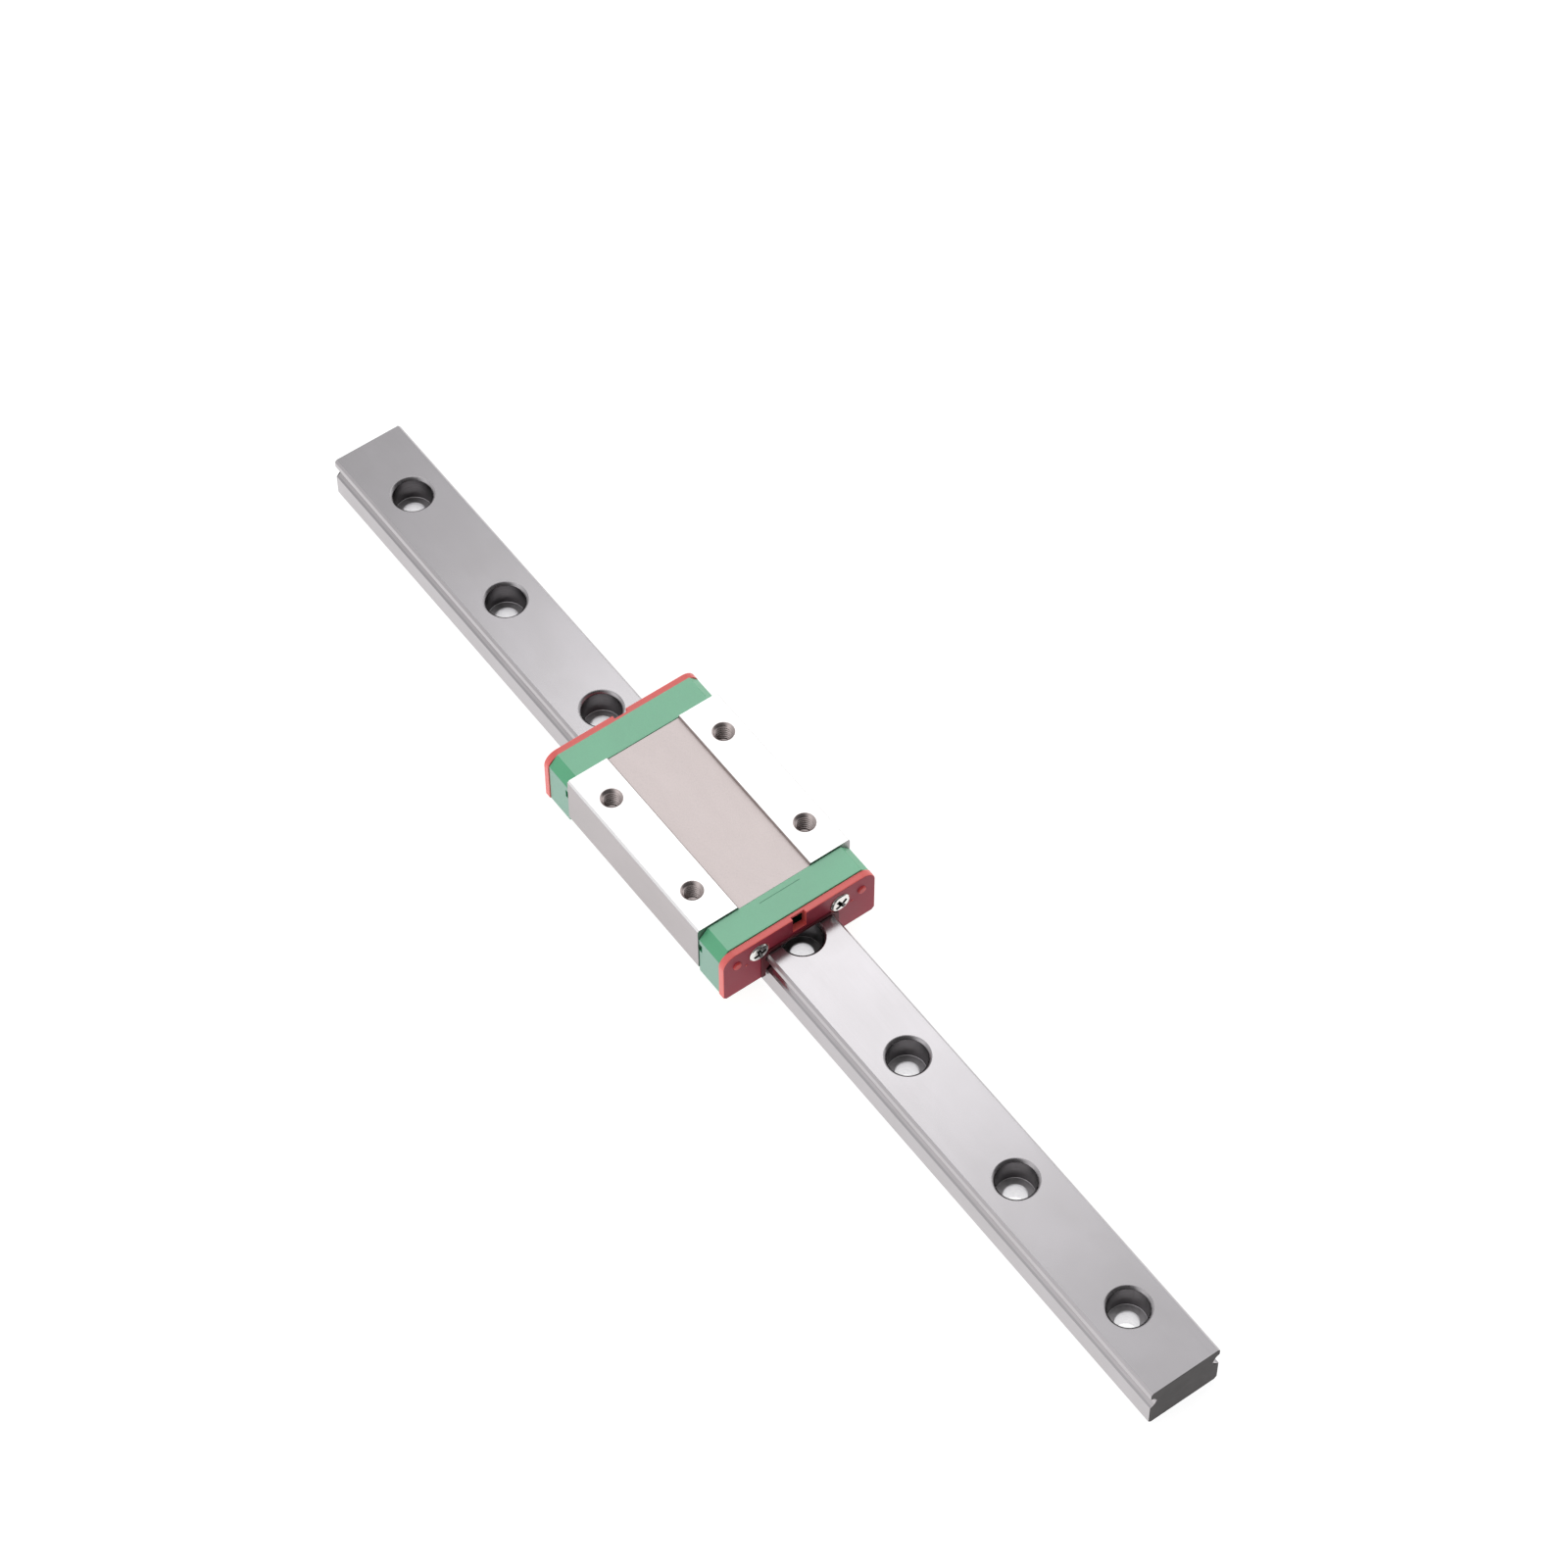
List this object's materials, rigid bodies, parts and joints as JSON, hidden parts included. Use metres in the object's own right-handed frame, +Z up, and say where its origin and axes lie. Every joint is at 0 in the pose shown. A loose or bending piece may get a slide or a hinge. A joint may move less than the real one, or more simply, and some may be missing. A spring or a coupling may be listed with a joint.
{
  "type": "linear guide carriage",
  "caption": "Miniature linear guide: a recirculating-ball carriage with plastic end caps and seals, running on a straight steel rail with counterbored screw holes.",
  "frame": {"origin": "middle of the rail's bottom face, which is also the middle of the whole part's footprint", "axes": "+X along the rail towards its near end, +Y across the rail towards the carriage's marked reference side, +Z up from the rail's mounting face to the carriage's top pads"},
  "size_m": [0.2, 0.027, 0.013],
  "materials": {
    "rail_steel": "hardened and ground, satin",
    "block_steel": "hardened and ground, satin",
    "cap_plastic": "injection moulded, semi-gloss",
    "guide_plastic": "injection moulded",
    "seal_rubber": "moulded elastomer-faced plate, semi-matte",
    "screw_steel": "bright nickel plated",
    "wire_steel": "bright drawn spring wire",
    "ball_steel": "polished hardened ball"
  },
  "bodies": {
    "rail": {"rail": "rail_steel"},
    "carriage": {"block": "block_steel", "end_cap_front": "cap_plastic", "end_cap_rear": "cap_plastic", "end_seal_front": "seal_rubber", "end_seal_rear": "seal_rubber", "seal_screw_front_left": "screw_steel", "seal_screw_front_right": "screw_steel", "seal_screw_rear_left": "screw_steel", "seal_screw_rear_right": "screw_steel", "return_guide_front_left": "guide_plastic", "return_guide_front_right": "guide_plastic", "return_guide_rear_left": "guide_plastic", "return_guide_rear_right": "guide_plastic", "retaining_wire_left": "wire_steel", "retaining_wire_right": "wire_steel", "return_balls_left": "ball_steel", "return_balls_right": "ball_steel"},
    "ball_left_01": {"ball_left_01": "ball_steel"},
    "ball_left_02": {"ball_left_02": "ball_steel"},
    "ball_left_03": {"ball_left_03": "ball_steel"},
    "ball_left_04": {"ball_left_04": "ball_steel"},
    "ball_left_05": {"ball_left_05": "ball_steel"},
    "ball_left_06": {"ball_left_06": "ball_steel"},
    "ball_left_07": {"ball_left_07": "ball_steel"},
    "ball_left_08": {"ball_left_08": "ball_steel"},
    "ball_left_09": {"ball_left_09": "ball_steel"},
    "ball_left_10": {"ball_left_10": "ball_steel"},
    "ball_left_11": {"ball_left_11": "ball_steel"},
    "ball_left_12": {"ball_left_12": "ball_steel"},
    "ball_left_13": {"ball_left_13": "ball_steel"},
    "ball_right_01": {"ball_right_01": "ball_steel"},
    "ball_right_02": {"ball_right_02": "ball_steel"},
    "ball_right_03": {"ball_right_03": "ball_steel"},
    "ball_right_04": {"ball_right_04": "ball_steel"},
    "ball_right_05": {"ball_right_05": "ball_steel"},
    "ball_right_06": {"ball_right_06": "ball_steel"},
    "ball_right_07": {"ball_right_07": "ball_steel"},
    "ball_right_08": {"ball_right_08": "ball_steel"},
    "ball_right_09": {"ball_right_09": "ball_steel"},
    "ball_right_10": {"ball_right_10": "ball_steel"},
    "ball_right_11": {"ball_right_11": "ball_steel"},
    "ball_right_12": {"ball_right_12": "ball_steel"},
    "ball_right_13": {"ball_right_13": "ball_steel"}
  },
  "joints": [
    {"name": "carriage_slide", "type": "slide", "parent": "rail", "child": "carriage", "axis": [1, 0, 0], "range_m": [-0.0668, 0.0878]},
    {"name": "ball_left_01_roll", "type": "hinge", "parent": "carriage", "child": "ball_left_01", "pos_m": [-0.02493, 0.00625, 0.0054], "axis": [0, 0, 1], "continuous": true},
    {"name": "ball_left_02_roll", "type": "hinge", "parent": "carriage", "child": "ball_left_02", "pos_m": [-0.02252, 0.00625, 0.0054], "axis": [0, 0, 1], "continuous": true},
    {"name": "ball_left_03_roll", "type": "hinge", "parent": "carriage", "child": "ball_left_03", "pos_m": [-0.02012, 0.00625, 0.0054], "axis": [0, 0, 1], "continuous": true},
    {"name": "ball_left_04_roll", "type": "hinge", "parent": "carriage", "child": "ball_left_04", "pos_m": [-0.01772, 0.00625, 0.0054], "axis": [0, 0, 1], "continuous": true},
    {"name": "ball_left_05_roll", "type": "hinge", "parent": "carriage", "child": "ball_left_05", "pos_m": [-0.01531, 0.00625, 0.0054], "axis": [0, 0, 1], "continuous": true},
    {"name": "ball_left_06_roll", "type": "hinge", "parent": "carriage", "child": "ball_left_06", "pos_m": [-0.0129, 0.00625, 0.0054], "axis": [0, 0, 1], "continuous": true},
    {"name": "ball_left_07_roll", "type": "hinge", "parent": "carriage", "child": "ball_left_07", "pos_m": [-0.0105, 0.00625, 0.0054], "axis": [0, 0, 1], "continuous": true},
    {"name": "ball_left_08_roll", "type": "hinge", "parent": "carriage", "child": "ball_left_08", "pos_m": [-0.00809, 0.00625, 0.0054], "axis": [0, 0, 1], "continuous": true},
    {"name": "ball_left_09_roll", "type": "hinge", "parent": "carriage", "child": "ball_left_09", "pos_m": [-0.00569, 0.00625, 0.0054], "axis": [0, 0, 1], "continuous": true},
    {"name": "ball_left_10_roll", "type": "hinge", "parent": "carriage", "child": "ball_left_10", "pos_m": [-0.00329, 0.00625, 0.0054], "axis": [0, 0, 1], "continuous": true},
    {"name": "ball_left_11_roll", "type": "hinge", "parent": "carriage", "child": "ball_left_11", "pos_m": [-0.00088, 0.00625, 0.0054], "axis": [0, 0, 1], "continuous": true},
    {"name": "ball_left_12_roll", "type": "hinge", "parent": "carriage", "child": "ball_left_12", "pos_m": [0.00153, 0.00625, 0.0054], "axis": [0, 0, 1], "continuous": true},
    {"name": "ball_left_13_roll", "type": "hinge", "parent": "carriage", "child": "ball_left_13", "pos_m": [0.00393, 0.00625, 0.0054], "axis": [0, 0, 1], "continuous": true},
    {"name": "ball_right_01_roll", "type": "hinge", "parent": "carriage", "child": "ball_right_01", "pos_m": [-0.02493, -0.00625, 0.0054], "axis": [0, 0, 1], "continuous": true},
    {"name": "ball_right_02_roll", "type": "hinge", "parent": "carriage", "child": "ball_right_02", "pos_m": [-0.02252, -0.00625, 0.0054], "axis": [0, 0, 1], "continuous": true},
    {"name": "ball_right_03_roll", "type": "hinge", "parent": "carriage", "child": "ball_right_03", "pos_m": [-0.02012, -0.00625, 0.0054], "axis": [0, 0, 1], "continuous": true},
    {"name": "ball_right_04_roll", "type": "hinge", "parent": "carriage", "child": "ball_right_04", "pos_m": [-0.01772, -0.00625, 0.0054], "axis": [0, 0, 1], "continuous": true},
    {"name": "ball_right_05_roll", "type": "hinge", "parent": "carriage", "child": "ball_right_05", "pos_m": [-0.01531, -0.00625, 0.0054], "axis": [0, 0, 1], "continuous": true},
    {"name": "ball_right_06_roll", "type": "hinge", "parent": "carriage", "child": "ball_right_06", "pos_m": [-0.0129, -0.00625, 0.0054], "axis": [0, 0, 1], "continuous": true},
    {"name": "ball_right_07_roll", "type": "hinge", "parent": "carriage", "child": "ball_right_07", "pos_m": [-0.0105, -0.00625, 0.0054], "axis": [0, 0, 1], "continuous": true},
    {"name": "ball_right_08_roll", "type": "hinge", "parent": "carriage", "child": "ball_right_08", "pos_m": [-0.00809, -0.00625, 0.0054], "axis": [0, 0, 1], "continuous": true},
    {"name": "ball_right_09_roll", "type": "hinge", "parent": "carriage", "child": "ball_right_09", "pos_m": [-0.00569, -0.00625, 0.0054], "axis": [0, 0, 1], "continuous": true},
    {"name": "ball_right_10_roll", "type": "hinge", "parent": "carriage", "child": "ball_right_10", "pos_m": [-0.00329, -0.00625, 0.0054], "axis": [0, 0, 1], "continuous": true},
    {"name": "ball_right_11_roll", "type": "hinge", "parent": "carriage", "child": "ball_right_11", "pos_m": [-0.00088, -0.00625, 0.0054], "axis": [0, 0, 1], "continuous": true},
    {"name": "ball_right_12_roll", "type": "hinge", "parent": "carriage", "child": "ball_right_12", "pos_m": [0.00153, -0.00625, 0.0054], "axis": [0, 0, 1], "continuous": true},
    {"name": "ball_right_13_roll", "type": "hinge", "parent": "carriage", "child": "ball_right_13", "pos_m": [0.00393, -0.00625, 0.0054], "axis": [0, 0, 1], "continuous": true}
  ],
  "couplings": [
    {"joint": "ball_left_01_roll", "follows": "carriage_slide", "rad_per_m": -419.99},
    {"joint": "ball_left_02_roll", "follows": "carriage_slide", "rad_per_m": -419.99},
    {"joint": "ball_left_03_roll", "follows": "carriage_slide", "rad_per_m": -419.99},
    {"joint": "ball_left_04_roll", "follows": "carriage_slide", "rad_per_m": -419.99},
    {"joint": "ball_left_05_roll", "follows": "carriage_slide", "rad_per_m": -419.99},
    {"joint": "ball_left_06_roll", "follows": "carriage_slide", "rad_per_m": -419.99},
    {"joint": "ball_left_07_roll", "follows": "carriage_slide", "rad_per_m": -419.99},
    {"joint": "ball_left_08_roll", "follows": "carriage_slide", "rad_per_m": -419.99},
    {"joint": "ball_left_09_roll", "follows": "carriage_slide", "rad_per_m": -419.99},
    {"joint": "ball_left_10_roll", "follows": "carriage_slide", "rad_per_m": -419.99},
    {"joint": "ball_left_11_roll", "follows": "carriage_slide", "rad_per_m": -419.99},
    {"joint": "ball_left_12_roll", "follows": "carriage_slide", "rad_per_m": -419.99},
    {"joint": "ball_left_13_roll", "follows": "carriage_slide", "rad_per_m": -419.99},
    {"joint": "ball_right_01_roll", "follows": "carriage_slide", "rad_per_m": 419.99},
    {"joint": "ball_right_02_roll", "follows": "carriage_slide", "rad_per_m": 419.99},
    {"joint": "ball_right_03_roll", "follows": "carriage_slide", "rad_per_m": 419.99},
    {"joint": "ball_right_04_roll", "follows": "carriage_slide", "rad_per_m": 419.99},
    {"joint": "ball_right_05_roll", "follows": "carriage_slide", "rad_per_m": 419.99},
    {"joint": "ball_right_06_roll", "follows": "carriage_slide", "rad_per_m": 419.99},
    {"joint": "ball_right_07_roll", "follows": "carriage_slide", "rad_per_m": 419.99},
    {"joint": "ball_right_08_roll", "follows": "carriage_slide", "rad_per_m": 419.99},
    {"joint": "ball_right_09_roll", "follows": "carriage_slide", "rad_per_m": 419.99},
    {"joint": "ball_right_10_roll", "follows": "carriage_slide", "rad_per_m": 419.99},
    {"joint": "ball_right_11_roll", "follows": "carriage_slide", "rad_per_m": 419.99},
    {"joint": "ball_right_12_roll", "follows": "carriage_slide", "rad_per_m": 419.99},
    {"joint": "ball_right_13_roll", "follows": "carriage_slide", "rad_per_m": 419.99}
  ]
}
